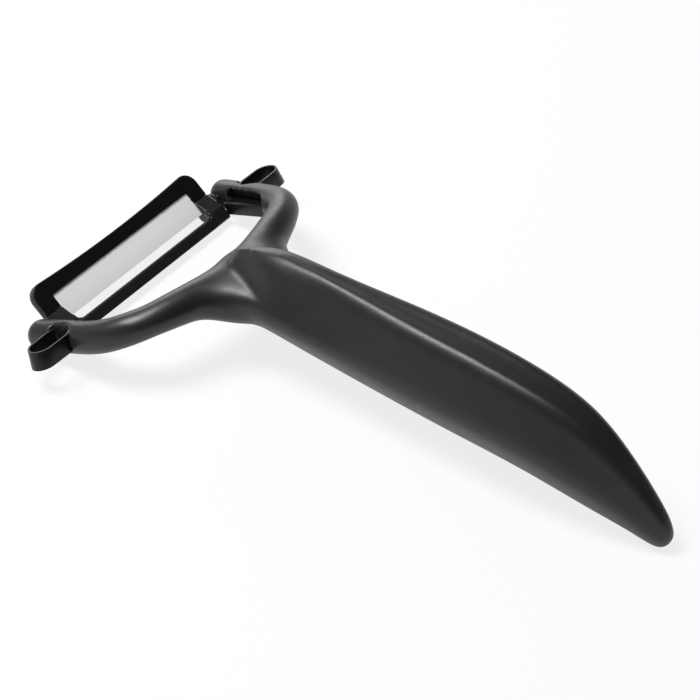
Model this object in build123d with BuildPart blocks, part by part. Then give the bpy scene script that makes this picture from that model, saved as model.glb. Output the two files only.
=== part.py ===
# Swivel peeler with a ceramic blade: a fork-ended handle, two eye removers, and a
# blade head that swings on two pins between the arms.
# Millimetres, +Z up, +Y from the handle's tip towards the head, +X to the right.
# The origin is at the middle of the outline, on the surface that the peeler lies on.
import os
from math import asin, cos, degrees, radians, sin

from build123d import *

os.makedirs("parts", exist_ok=True)

# Overall sizes
overall_length = 143.0  # handle tip to the front of the head
cut_overrun = 2.0  # how far a cutting shape runs past what it cuts

# Fork: two round arms in one sloping plane, joined by a bend
fork_slope = 22.0  # the fork rises towards the handle, degrees
nose_stand_off = 3.8  # head's side to the middle of an arm's nose
fork_depth = 31.6  # pivot axis to the middle of the bend, along the slope
arm_radius = 3.5
nose_radius = 3.3
nose_tip = 2.7  # pivot axis to the nose's blunt end
neck_radius = 5.6
fork_route_shares = (  # (across, back, rise) of the arms' centre line, nose to bend
    (1.0, 0.0, 0.0),
    (0.973, 0.28, 0.0),
    (0.94, 0.524, 0.06),
    (0.80, 0.77, 0.31),
    (0.465, 0.92, 0.20),
)
fork_bend_rise = -1.1  # the middle of the bend from the noses' plane
fork_thickening_shares = (  # (along half the centre line, from arm to neck radius)
    (0.18, 0.0),
    (0.40, 0.0),
    (0.56, 0.0),
    (0.72, 0.25),
    (0.86, 0.6),
)

# Swivel head, in a tilted plane through the pivot axis
head_tilt = 39.5  # front edge up, degrees
blade_end_margin = 3.0  # blade's end to the head's side
head_corner = 3.0  # outer front corners
clamp_front = 9.15  # pivot axis to the front edge at its ends
clamp_hollow = 0.95  # how far the front edge is drawn in at mid-length
clamp_bar = 4.1  # width of the long front bar at its ends
clamp_arm = 4.3  # width of the short side arms
clamp_arm_end = 2.25  # pivot axis to the ends of the side arms
clamp_top = 0.24  # clamp's face over the pivot axis
clamp_thickness = 1.0
clamp_lip = 0.35  # clamp's plate over the blade
rail_thickness = 1.25  # carrier's rail under the clamp
edge_round = 0.3

# Blade
blade_length = 45.8
blade_thickness = 1.0
blade_edge = 0.7  # pivot axis back to the cutting edge
blade_depth = 8.4
blade_bevel = 0.85
blade_land = 0.15  # thickness left at the cutting edge

# End caps and guard bar of the carrier
cap_shoulder = 1.9  # pivot axis back to where the cap's slope ends
cap_heel = 1.9  # pivot axis back to the rear of the cap's underside
cap_round = 0.5
bar_front = 2.43  # pivot axis back to the bar's front edge
bar_width = 2.7
bar_thickness = 1.45
bar_bevel = 0.4
bar_root = 1.8  # radius between the bar and a cap
boss_radius = 1.9

# Pivot pins
pin_radius = 1.0
pin_fit = 0.05  # radial clearance of a pin in its nose
pin_seat = 2.6  # length of a pin held in its end cap
pin_reach = 2.9  # length of a pin inside the nose
pin_end_gap = 0.2
pin_chamfer = 0.2
nose_flat = 0.4  # depth of the flat on the nose's inner side
side_gap = 0.2  # boss to nose, along the pivot axis

# Eye removers: a thin leaf-shaped loop outside each arm, on a rail through the arm
loop_back = 8.2  # pivot axis to the loop's middle, along the slope
loop_reach = 6.5  # middle of the arm's nose to the middle of the loop's round end
loop_end_radius = 3.0
loop_root_radius = 2.4
loop_root = 1.7  # middle of the arm's nose to the middle of the loop's root
loop_top = 2.5  # upper rim over the fork's middle plane
loop_height = 3.9  # at the round end
loop_root_height = 5.4  # at the arm
loop_flare = 1.0  # how much further out the lower rim lies
loop_wall = 0.9
eye_rail_inset = 4.4  # middle of the arm's nose in to the rail's inner face
eye_rail_start = 4.2  # pivot axis back to the rail's front end
eye_rail_length = 11.8
eye_rail_top = 0.4  # over the fork's middle plane
eye_rail_height = 2.9
window_height = 1.8  # slot in the arm over the rail
window_depth = 2.2
stop_gap = 0.1  # end cap to the rail at rest

# Handle
neck_cover = 0.24  # front of the dome past the middle of the fork's bend
handle_width = 18.6
handle_height = 27.45
ridge_half_gap = 2.2  # middle of the top to each of its two ridges
groove_depth = 0.6
handle_stations_shares = (  # (back, half width, top, bottom, groove)
    (0.008, 0.42, 0.785, 0.533, 0.0),
    (0.030, 0.77, 0.830, 0.431, 0.0),
    (0.065, 0.97, 0.893, 0.350, 0.2),
    (0.125, 1.01, 0.937, 0.305, 0.8),
    (0.246, 0.97, 0.950, 0.278, 1.0),
    (0.398, 0.99, 0.976, 0.265, 1.0),
    (0.550, 1.01, 0.982, 0.268, 1.0),
    (0.682, 0.97, 0.943, 0.254, 0.8),
    (0.777, 0.87, 0.868, 0.204, 0.5),
    (0.852, 0.70, 0.720, 0.138, 0.2),
    (0.918, 0.50, 0.520, 0.072, 0.0),
    (0.961, 0.36, 0.354, 0.021, 0.0),
    (0.986, 0.26, 0.250, 0.006, 0.0),
)
handle_side_shares = (  # (half width, height down from the top) of the right-hand side
    (0.62, 0.20),
    (0.90, 0.43),
    (1.0, 0.64),
    (0.82, 0.84),
    (0.46, 0.96),
)
ridge_limit_share = 0.3  # the ridges stay within this share of the half width
tip_height_share = 0.12

# Underside cover, and the hollow that it closes
cover_front = 22.0  # front of the dome to the cover's front end
cover_length = 54.0
cover_width = 9.0
cover_seat_share = 0.35  # height of the cover's inner face, of the handle's height
cover_ledge = 1.2  # width of the seat round the hollow
hollow_height = 14.0
hollow_round = 1.5

# Places worked out from the sizes
head_half_width = blade_length / 2 + blade_end_margin
fork_half_span = head_half_width + nose_stand_off
eye_rail_inner = fork_half_span - eye_rail_inset
tilt_cos = cos(radians(head_tilt))
tilt_sin = sin(radians(head_tilt))
slope_cos = cos(radians(fork_slope))
slope_sin = sin(radians(fork_slope))
parting = clamp_top - clamp_thickness  # between the clamp and the carrier's rail
head_bottom = parting - rail_thickness
blade_top = clamp_top - clamp_lip
blade_bottom = blade_top - blade_thickness
pivot_y = overall_length / 2 - clamp_front * tilt_cos + head_bottom * tilt_sin
# The nose's blunt end is a cap of a ball, and the ball's lowest point is on the table
nose_ball = (nose_radius**2 + nose_tip**2) / (nose_tip + nose_tip)
nose_latitude = degrees(asin((nose_ball - nose_tip) / nose_ball))
pivot_z = nose_ball - (nose_ball - nose_tip) * slope_sin
handle_front_y = pivot_y - fork_depth * slope_cos + neck_cover
handle_length = handle_front_y + overall_length / 2
cover_seat = cover_seat_share * handle_height
nose_face = fork_half_span - nose_radius + nose_flat
boss_face = nose_face - side_gap
cap_back = bar_front + bar_width
cap_inner = head_half_width - clamp_arm
fork_plane = Plane(
    origin=(0, pivot_y, pivot_z), x_dir=(1, 0, 0), z_dir=(0, slope_sin, slope_cos)
)
head_plane = Plane(
    origin=(0, pivot_y, pivot_z), x_dir=(1, 0, 0), z_dir=(0, -tilt_sin, tilt_cos)
)
# The cap's top meets the front lower corner of the rail, which is the head's stop
stop_corner = fork_plane.from_local_coords((0, -eye_rail_start, eye_rail_top - eye_rail_height))
cap_rise = head_plane.to_local_coords(stop_corner).Z - stop_gap
SIDES = {"left": -1, "right": 1}


# Handle form: smooth cross-sections from the dome at the front to the tip
def handle_section(back_share, width_share, top_share, bottom_share, groove_share):
    """One closed cross-section of the handle, square to its length."""
    half = width_share * handle_width / 2
    top = top_share * handle_height
    tall = top - bottom_share * handle_height
    ridge = min(ridge_half_gap, ridge_limit_share * half)
    right = [(ridge, top), *((x * half, top - z * tall) for x, z in handle_side_shares)]
    left = [(-x, z) for x, z in reversed(right)]
    with BuildSketch(Plane.XZ.offset(back_share * handle_length - handle_front_y)) as section:
        with BuildLine():
            groove = (0, top - groove_share * groove_depth)
            Spline(groove, *right, (0, top - tall), *left, periodic=True)
        make_face()
    return section.sketch.face()


tip = Vertex(0, handle_front_y - handle_length, tip_height_share * handle_height)
with BuildPart() as handle_form:
    loft(sections=[*(handle_section(*station) for station in handle_stations_shares), tip])

# Fork form: round cross-sections along the arms' centre line
half_route = [
    (-across * fork_half_span, -back * fork_depth, rise * arm_radius)
    for across, back, rise in fork_route_shares
]
other_half = [(-x, y, z) for x, y, z in reversed(half_route)]
with BuildLine(fork_plane) as fork_line:
    Spline(*half_route, (0, -fork_depth, fork_bend_rise), *other_half)
fork_centre_line = fork_line.wire()


def fork_section(share, radius):
    """A round cross-section square to the fork's centre line."""
    along = fork_centre_line % share
    across = along.cross(fork_plane.z_dir)
    with BuildSketch(Plane(fork_centre_line @ share, x_dir=across, z_dir=along)) as section:
        Circle(radius)
    return section.sketch.face()


half_sections = [(0.0, nose_radius)]
for along_share, thickening_share in fork_thickening_shares:
    grown = thickening_share * (neck_radius - arm_radius)
    half_sections.append((along_share / 2, arm_radius + grown))
fork_sections = [*half_sections, (0.5, neck_radius)]
fork_sections += [(1 - share, radius) for share, radius in reversed(half_sections)]

with BuildPart() as fork_form:
    loft(sections=[fork_section(share, radius) for share, radius in fork_sections])
    for end, outward in ((0, -1), (1, 1)):
        nose_plane = Plane(fork_centre_line @ end, z_dir=(fork_centre_line % end) * outward)
        with Locations(nose_plane):
            Sphere(
                nose_ball,
                arc_size1=nose_latitude,
                align=(Align.CENTER, Align.CENTER, Align.MIN),
            )


# Eye removers, on the right-hand side
def leaf(rim, out, wall):
    """The loop's leaf outline on the plane of one rim, drawn in by a wall."""
    with BuildSketch(rim) as outline:
        with Locations((out, -loop_back)):
            Circle(loop_end_radius - wall)
        with Locations((loop_root - loop_reach, -loop_back)):
            Circle(loop_root_radius - wall)
        make_hull()
    return outline.sketch.face()


loop_middle = fork_half_span + loop_reach
rim_fall = loop_root_height - loop_height
upper_rim = Plane(
    fork_plane.from_local_coords((loop_middle, 0, loop_top)),
    x_dir=(1, 0, 0),
    z_dir=fork_plane.z_dir,
)
lower_rim = Plane(
    fork_plane.from_local_coords((loop_middle, 0, loop_top - loop_height)),
    x_dir=fork_plane.x_dir * loop_reach + fork_plane.z_dir * rim_fall,
    z_dir=fork_plane.z_dir * loop_reach - fork_plane.x_dir * rim_fall,
)
with BuildPart() as loop_block:
    loft(sections=[leaf(upper_rim, 0, 0), leaf(lower_rim, loop_flare, 0)], ruled=True)
with BuildPart() as loop_space:
    loft(
        sections=[leaf(upper_rim, 0, loop_wall), leaf(lower_rim, loop_flare, loop_wall)],
        ruled=True,
    )

eye_rail_outer = fork_half_span + loop_root - loop_root_radius + loop_wall / 2
eye_rail_middle = (
    (eye_rail_inner + eye_rail_outer) / 2,
    -eye_rail_start - eye_rail_length / 2,
)
with BuildPart() as eye_rail:
    with BuildSketch(fork_plane.offset(eye_rail_top)):
        with Locations(eye_rail_middle):
            Rectangle(eye_rail_outer - eye_rail_inner, eye_rail_length)
    extrude(amount=-eye_rail_height)
with BuildPart() as eye_remover:
    add(loop_block.part)
    add(eye_rail.part)
    add(loop_space.part, mode=Mode.SUBTRACT)

# What each arm gives up: the loop's seat, open above it, the rail's seat and the window
with BuildPart() as arm_cut:
    add(loop_block.part)
    add(eye_rail.part)
    add(leaf(upper_rim, 0, 0))
    extrude(amount=arm_radius, dir=upper_rim.z_dir)
    with BuildSketch(fork_plane.offset(eye_rail_top)):
        with Locations((eye_rail_inner, eye_rail_middle[1])):
            Rectangle(2 * window_depth, eye_rail_length)
    extrude(amount=window_height)
    with BuildSketch(Plane.YZ.offset(nose_face)):
        with Locations((pivot_y, pivot_z)):
            Circle(nose_radius + cut_overrun)
    extrude(amount=-nose_flat - cut_overrun)
    with BuildSketch(Plane.YZ.offset(nose_face)):
        with Locations((pivot_y, pivot_z)):
            Circle(pin_radius + pin_fit)
    extrude(amount=pin_reach + pin_end_gap)


# Underside cover and hollow, in plan
def cover_outline(level, inset):
    """Round-ended plan of the cover at a level, drawn in by an inset."""
    middle = handle_front_y - cover_front - cover_length / 2
    with BuildSketch(Plane.XY.offset(level)) as outline:
        with Locations((0, middle)):
            SlotOverall(cover_length - 2 * inset, cover_width - 2 * inset, rotation=90)
    return outline.sketch.face()


with BuildPart() as cover_block:
    add(cover_outline(cover_seat, 0))
    extrude(amount=-cover_seat)
with BuildPart() as hollow:
    add(cover_outline(cover_seat, cover_ledge))
    extrude(amount=hollow_height)
    fillet(hollow.faces().sort_by(Axis.Z)[-1].edges(), hollow_round)

with BuildPart() as handle_underside_cover:
    add(handle_form.part)
    add(cover_block.part, mode=Mode.INTERSECT)

with BuildPart() as handle_body:
    add(handle_form.part)
    add(fork_form.part)
    add(cover_block.part, mode=Mode.SUBTRACT)
    add(hollow.part, mode=Mode.SUBTRACT)
    add(arm_cut.part, mode=Mode.SUBTRACT)
    add(mirror(arm_cut.part, about=Plane.YZ, mode=Mode.PRIVATE), mode=Mode.SUBTRACT)

# Blade head: side profiles are drawn square to the pivot axis, u forward and v upward
head_side = Plane(
    origin=head_plane.origin, x_dir=head_plane.y_dir, z_dir=head_plane.x_dir
)
with BuildPart() as ceramic_blade:
    with BuildSketch(head_side):
        with BuildLine():
            Polyline(
                (-blade_edge, blade_top),
                (blade_depth - blade_edge, blade_top),
                (blade_depth - blade_edge, blade_bottom),
                (blade_bevel - blade_edge, blade_bottom),
                (-blade_edge, blade_top - blade_land),
                close=True,
            )
        make_face()
    extrude(amount=blade_length / 2, both=True)


def frame_outline(level, arm_end):
    """U-shaped outline of the clamp and of the rail under it, open towards the handle."""
    left_end, right_end = ((side * head_half_width, clamp_front) for side in SIDES.values())
    with BuildSketch(head_plane.offset(level)) as outline:
        with BuildLine():
            ThreePointArc(left_end, (0, clamp_front - clamp_hollow), right_end)
            Polyline(
                right_end,
                (head_half_width, arm_end),
                (cap_inner, arm_end),
                (cap_inner, clamp_front - clamp_bar),
                (-cap_inner, clamp_front - clamp_bar),
                (-cap_inner, arm_end),
                (-head_half_width, arm_end),
                left_end,
            )
        make_face()
        fillet(outline.vertices().group_by(Axis.Y)[-1], head_corner)
    return outline.sketch.face()


with BuildPart() as blade_clamp:
    add(frame_outline(parting, clamp_arm_end))
    extrude(amount=clamp_thickness, dir=head_plane.z_dir)
    upper_face = blade_clamp.faces().sort_by(Axis(head_plane.origin, head_plane.z_dir))[-1]
    fillet(upper_face.edges(), edge_round)
    add(ceramic_blade.part, mode=Mode.SUBTRACT)

# Carrier: rail under the clamp, two end caps with bosses, and the guard bar
with BuildPart() as end_cap:
    with BuildSketch(head_side.offset(cap_inner)) as cap_profile:
        with BuildLine():
            Polyline(
                (clamp_arm_end, head_bottom),
                (clamp_arm_end, clamp_top),
                (-cap_shoulder, cap_rise),
                (-cap_back, cap_rise),
                (-cap_back, cap_rise - bar_thickness),
                (-cap_heel, head_bottom),
                close=True,
            )
        make_face()
        fillet(cap_profile.vertices().sort_by(Axis.X)[:1], cap_round)
    extrude(amount=head_half_width - cap_inner)
    with BuildSketch(head_side.offset(head_half_width)):
        Circle(boss_radius)
    extrude(amount=boss_face - head_half_width)
    with BuildSketch(head_plane.offset(cap_rise - bar_thickness)):
        with Locations((cap_inner, -bar_front)):
            Rectangle(bar_root, bar_root, align=(Align.MAX, Align.MIN))
        with Locations((cap_inner - bar_root, bar_root - bar_front)):
            Circle(bar_root, mode=Mode.SUBTRACT)
    extrude(amount=bar_thickness - bar_bevel)

with BuildPart() as blade_carrier:
    add(frame_outline(head_bottom, 0))
    extrude(amount=rail_thickness, dir=head_plane.z_dir)
    add(end_cap.part)
    add(mirror(end_cap.part, about=Plane.YZ, mode=Mode.PRIVATE))
    with BuildSketch(head_side) as bar_profile:
        with Locations((-bar_front, cap_rise)):
            Rectangle(bar_width, bar_thickness, align=(Align.MAX, Align.MAX))
        chamfer(bar_profile.vertices().group_by(Axis.X)[-1].sort_by(Axis.Y)[-1], bar_bevel)
    extrude(amount=cap_inner, both=True)
    add(ceramic_blade.part, mode=Mode.SUBTRACT)
    for side in SIDES.values():
        with BuildSketch(head_side.offset(side * boss_face)):
            Circle(pin_radius)
        extrude(amount=-side * pin_seat, mode=Mode.SUBTRACT)


def pivot_pin(side):
    """A chamfered pin from its seat in the end cap into the nose."""
    with BuildPart() as pin:
        with BuildSketch(head_side.offset(side * (boss_face - pin_seat))):
            Circle(pin_radius)
        extrude(amount=side * (pin_seat + side_gap + pin_reach))
        chamfer(pin.edges(), pin_chamfer)
    return pin.part


pieces = {
    "handle_body": handle_body.part,
    "handle_underside_cover": handle_underside_cover.part,
    "eye_remover_right": eye_remover.part,
    "eye_remover_left": mirror(eye_remover.part, about=Plane.YZ),
    "blade_carrier": blade_carrier.part,
    "blade_clamp": blade_clamp.part,
    "ceramic_blade": ceramic_blade.part,
}
for name, side in SIDES.items():
    pieces[f"pivot_pin_{name}"] = pivot_pin(side)
for name, piece in pieces.items():
    piece.label = name
    export_step(piece, f"parts/{name}.step")
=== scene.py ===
"""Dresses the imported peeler: handle moulding, eye removers, blade head, floor and studio light."""

import logging
import math
from dataclasses import dataclass
from enum import Enum

import bmesh
import bpy
import numpy as np
from mathutils import Matrix, Vector


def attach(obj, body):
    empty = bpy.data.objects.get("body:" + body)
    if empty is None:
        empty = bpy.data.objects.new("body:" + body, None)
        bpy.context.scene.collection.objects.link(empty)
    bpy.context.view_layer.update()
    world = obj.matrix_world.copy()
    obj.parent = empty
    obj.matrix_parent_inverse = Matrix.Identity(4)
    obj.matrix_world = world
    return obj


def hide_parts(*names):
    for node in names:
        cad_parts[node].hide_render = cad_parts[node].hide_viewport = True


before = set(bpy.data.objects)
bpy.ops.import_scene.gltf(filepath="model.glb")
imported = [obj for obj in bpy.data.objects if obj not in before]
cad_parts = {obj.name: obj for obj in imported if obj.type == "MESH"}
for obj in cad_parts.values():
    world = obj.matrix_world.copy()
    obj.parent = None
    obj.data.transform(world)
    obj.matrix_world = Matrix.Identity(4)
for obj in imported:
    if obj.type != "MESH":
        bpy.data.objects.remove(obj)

Obj = bpy.types.Object
Material = bpy.types.Material
Tree = bpy.types.NodeTree
Node = bpy.types.Node
Socket = bpy.types.NodeSocket

LOG = logging.getLogger("peeler")
MM = 0.001
UP = Vector((0, 0, 1))
WHITE = (1.0, 1.0, 1.0, 1.0)
# The range that holds nearly all of a noise texture's values
NOISE_RANGE = (0.3, 0.7)
TUBE_SIDES = 16
ROD_SIDES = 40
# Points along a line that distances are measured to
LINE_POINTS = 40
# Points this close, in metres, are the same; nearer than a weld they are merged
SAME_PLACE = 1e-7
WELD = 0.005 * MM
NODE_WELD = 0.002 * MM
# How a tool moves by a hair, in metres, where its faces fall together with the target's
NUDGE = Vector((0.7e-6, 1.1e-6, 0.5e-6))
NUDGE_TRIES = 4
# Edges flatter than the first are dissolved, sharper than the second rounded, flatter than the third smooth
FLAT_ANGLE = math.radians(1.0)
EDGE_ANGLE = math.radians(32.0)
SMOOTH_ANGLE = math.radians(40.0)


class Slot(str, Enum):
    """The record's material slots."""

    HANDLE = "handle_plastic"
    EYE_REMOVER = "eye_remover_plastic"
    CARRIER = "carrier_plastic"
    CLAMP = "clamp_plastic"
    BLADE = "blade_ceramic"
    PIN = "pin_steel"


class Body(str, Enum):
    """The rigid bodies that pieces move with."""

    HANDLE = "handle"
    HEAD = "blade_head"


class Side(Enum):
    """The two halves of the peeler; the value is the sign of X."""

    LEFT = -1
    RIGHT = 1


# Colour and node helpers


def linear(hex_colour: str) -> tuple[float, float, float, float]:
    """Turns a written sRGB colour into the linear one that shaders take.

    Args:
        hex_colour: six hex digits after a hash.

    Returns:
        Red, green, blue and alpha 1.
    """
    values = [int(hex_colour[i : i + 2], 16) / 255 for i in (1, 3, 5)]
    red, green, blue = (v / 12.92 if v <= 0.04045 else ((v + 0.055) / 1.055) ** 2.4 for v in values)
    return (red, green, blue, 1.0)


def set_inputs(tree: Tree, node: Node, inputs: dict) -> None:
    """Links or sets a node's inputs.

    Args:
        tree: the material's node tree.
        node: the node.
        inputs: values or output sockets, by input name or number.
    """
    for key, value in inputs.items():
        if isinstance(value, Socket):
            tree.links.new(value, node.inputs[key])
        else:
            node.inputs[key].default_value = value


def add_node(tree: Tree, kind: str, inputs: dict | None = None, **settings) -> Node:
    """Adds one shader node.

    Args:
        tree: the material's node tree.
        kind: the node's type name, without its ShaderNode prefix.
        inputs: values or output sockets, by input name or number.
        **settings: the node's own properties.

    Returns:
        The new node.
    """
    node = tree.nodes.new("ShaderNode" + kind)
    for name, value in settings.items():
        setattr(node, name, value)
    set_inputs(tree, node, inputs or {})
    return node


def calculated(tree: Tree, operation: str, first: Socket, second: Socket | float) -> Socket:
    """Adds a Math node and returns its result."""
    return add_node(tree, "Math", {0: first, 1: second}, operation=operation).outputs[0]


def ramp(tree: Tree, factor: Socket, span: tuple, out: tuple) -> Socket:
    """Spreads a factor's span over another range, clamped, and returns the new value."""
    values = {"Value": factor, "From Min": span[0], "From Max": span[1], "To Min": out[0], "To Max": out[1]}
    return add_node(tree, "MapRange", values).outputs["Result"]


def around(value: float, spread: float) -> tuple[float, float]:
    """Returns the range that reaches as far below a value as above it."""
    return (value - spread, value + spread)


def noise(tree: Tree, place: Socket, size: float, detail: float, roughness: float = 0.5) -> Socket:
    """Adds a noise whose patches have a size in millimetres, and returns its value."""
    values = {"Vector": place, "Scale": 1 / (size * MM), "Detail": detail, "Roughness": roughness}
    return add_node(tree, "TexNoise", values).outputs[0]


def stretched(tree: Tree, place: Socket, share: float) -> Socket:
    """Leaves a share of Y and Z, so that a texture turns into fine lines square to X."""
    return add_node(tree, "Mapping", {"Vector": place, "Scale": (1.0, share, share)}).outputs[0]


def bumped(tree: Tree, relief: Socket, strength: float, height: float) -> Socket:
    """Returns the normal that a relief bends; its height is in millimetres."""
    values = {"Height": relief, "Strength": strength, "Distance": height * MM}
    return add_node(tree, "Bump", values).outputs["Normal"]


def tinted(tree: Tree, colour: str, factor: Socket, spread: float) -> Socket:
    """Makes a written colour drift lighter and darker with a noise, by a spread that is a share."""
    tint = ramp(tree, factor, NOISE_RANGE, around(1.0, spread))
    values = {0: linear(colour)[:3], "Scale": tint}
    return add_node(tree, "VectorMath", values, operation="SCALE").outputs["Vector"]


def start_material(name: str, colour: str) -> tuple[Material, Tree, Node, Socket]:
    """Starts a node material.

    Args:
        name: its name.
        colour: the written sRGB colour that stands for it in plain views.

    Returns:
        The material, its node tree, its shader and its Object coordinates.
    """
    material = bpy.data.materials.new(name)
    material.use_nodes = True
    material.diffuse_color = linear(colour)
    tree = material.node_tree
    return material, tree, tree.nodes["Principled BSDF"], add_node(tree, "TexCoord").outputs["Object"]


@dataclass(frozen=True)
class MouldedPlastic:
    """Injection-moulded ABS, whose tool surface and handling give it its look, in millimetres.

    ABS has an index near 1.54. A spark-eroded tool leaves a fine, even grain that
    spreads the highlight; a polished tool leaves faint flow marks instead. Handling
    polishes the grain unevenly, so the roughness drifts over a few millimetres.
    """

    name: str
    colour: str
    roughness: float
    specular: float
    grain: float = 0.5
    grain_height: float = 0.002
    grain_strength: float = 0.5
    pit_share: float = 0.6
    wear: float = 9.0
    flow: float = 1.1
    worn_range: tuple = (0.15, 0.36)
    drift: float = 0.03
    tint_spread: float = 0.07
    index: float = 1.54

    def build(self) -> Material:
        """Returns the node material."""
        material, tree, shader, place = start_material(self.name, self.colour)
        # Grain of the tool, in real millimetres
        grain = noise(tree, place, self.grain, detail=3.0, roughness=0.6)
        pits = add_node(tree, "TexVoronoi", {"Vector": place, "Scale": self.pit_share / (self.grain * MM)})
        relief = calculated(tree, "ADD", grain, pits.outputs["Distance"])
        # Wear and flow: slow change over a few millimetres
        wear = noise(tree, place, self.wear, detail=4.0, roughness=0.55)
        flow = noise(tree, place, self.flow, detail=2.0)
        both = calculated(tree, "MULTIPLY", wear, flow)
        shading = {
            "Base Color": tinted(tree, self.colour, wear, self.tint_spread),
            "Roughness": ramp(tree, both, self.worn_range, around(self.roughness, self.drift)),
            "Normal": bumped(tree, relief, self.grain_strength, self.grain_height),
            "IOR": self.index,
            "Specular IOR Level": self.specular,
        }
        set_inputs(tree, shader, shading)
        return material


@dataclass(frozen=True)
class GroundZirconia:
    """White zirconia ceramic, ground flat and then sharpened, in millimetres.

    The powder is pressed, fired and ground, which leaves hair-fine parallel marks
    across the strip and a soft, slightly warm white with a satin highlight.
    """

    name: str = "ground_zirconia"
    colour: str = "#f7f7f5"
    roughness: float = 0.32
    drift: float = 0.02
    specular: float = 0.3
    index: float = 2.1
    mark: float = 0.12
    mark_stretch: float = 0.04
    mark_height: float = 0.002
    mark_strength: float = 0.15
    cloud: float = 6.0
    tint_spread: float = 0.01

    def build(self) -> Material:
        """Returns the node material."""
        material, tree, shader, place = start_material(self.name, self.colour)
        marks = noise(tree, stretched(tree, place, self.mark_stretch), self.mark, detail=2.0)
        cloud = noise(tree, place, self.cloud, detail=3.0)
        shading = {
            "Base Color": tinted(tree, self.colour, cloud, self.tint_spread),
            "Roughness": ramp(tree, marks, NOISE_RANGE, around(self.roughness, self.drift)),
            "Normal": bumped(tree, marks, self.mark_strength, self.mark_height),
            "IOR": self.index,
            "Specular IOR Level": self.specular,
        }
        set_inputs(tree, shader, shading)
        return material


@dataclass(frozen=True)
class TurnedSteel:
    """Stainless steel pin, centreless ground, with fine rings round its axis, in millimetres."""

    name: str = "turned_steel"
    colour: str = "#c2c3c5"
    roughness: float = 0.28
    drift: float = 0.08
    ring: float = 0.08
    ring_stretch: float = 0.02
    ring_height: float = 0.004
    ring_strength: float = 0.3

    def build(self) -> Material:
        """Returns the node material."""
        material, tree, shader, place = start_material(self.name, self.colour)
        rings = noise(tree, stretched(tree, place, self.ring_stretch), self.ring, detail=2.0)
        shading = {
            "Base Color": linear(self.colour),
            "Metallic": 1.0,
            "Roughness": ramp(tree, rings, NOISE_RANGE, around(self.roughness, self.drift)),
            "Normal": bumped(tree, rings, self.ring_strength, self.ring_height),
        }
        set_inputs(tree, shader, shading)
        return material


def finishes() -> dict[Slot, Material]:
    """Builds one material for each of the record's slots.

    Returns:
        The materials by slot.
    """
    chosen = {
        # Spark-eroded grain: a soft, broad highlight on charcoal
        Slot.HANDLE: MouldedPlastic(
            "charcoal_grained_abs", "#21201f", 0.4, 0.44, grain=0.16, grain_height=0.004
        ),
        # Polished tool: a small clear highlight on near-black
        Slot.EYE_REMOVER: MouldedPlastic("black_half_gloss_abs", "#110e0b", 0.36, 0.28),
        # The same polish on a cooler, slightly lighter black
        Slot.CARRIER: MouldedPlastic("blue_black_half_gloss_abs", "#1a1a1c", 0.34, 0.4),
        # A duller, warmer black that keeps dark beside the white blade
        Slot.CLAMP: MouldedPlastic("warm_black_half_gloss_abs", "#14110f", 0.38, 0.2),
        # Satin white with hair-fine marks across it
        Slot.BLADE: GroundZirconia(),
        # Bright metal with rings that draw its highlight out
        Slot.PIN: TurnedSteel(),
    }
    return {slot: finish.build() for slot, finish in chosen.items()}


# Modelling helpers


def select_only(*objects: Obj) -> None:
    """Makes the given objects the whole selection and the first one active.

    Args:
        *objects: what to select.
    """
    if bpy.context.object and bpy.context.object.mode != "OBJECT":
        bpy.ops.object.mode_set(mode="OBJECT")
    bpy.ops.object.select_all(action="DESELECT")
    for obj in objects:
        obj.select_set(True)
    bpy.context.view_layer.objects.active = objects[0] if objects else None


def bake_modifiers(obj: Obj) -> None:
    """Applies all of an object's modifiers in order."""
    select_only(obj)
    for modifier in list(obj.modifiers):
        bpy.ops.object.modifier_apply(modifier=modifier.name)


def points_of(obj: Obj) -> np.ndarray:
    """Returns the mesh's points, one row each."""
    flat = np.empty(len(obj.data.vertices) * 3)
    obj.data.vertices.foreach_get("co", flat)
    return flat.reshape(-1, 3)


def set_points(obj: Obj, points: np.ndarray) -> None:
    """Writes the mesh's points back, one row each."""
    obj.data.vertices.foreach_set("co", points.ravel())
    obj.data.update()


def normals_of(obj: Obj) -> np.ndarray:
    """Returns the mesh's point normals, one row each."""
    flat = np.empty(len(obj.data.vertices) * 3)
    obj.data.vertex_normals.foreach_get("vector", flat)
    return flat.reshape(-1, 3)


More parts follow.
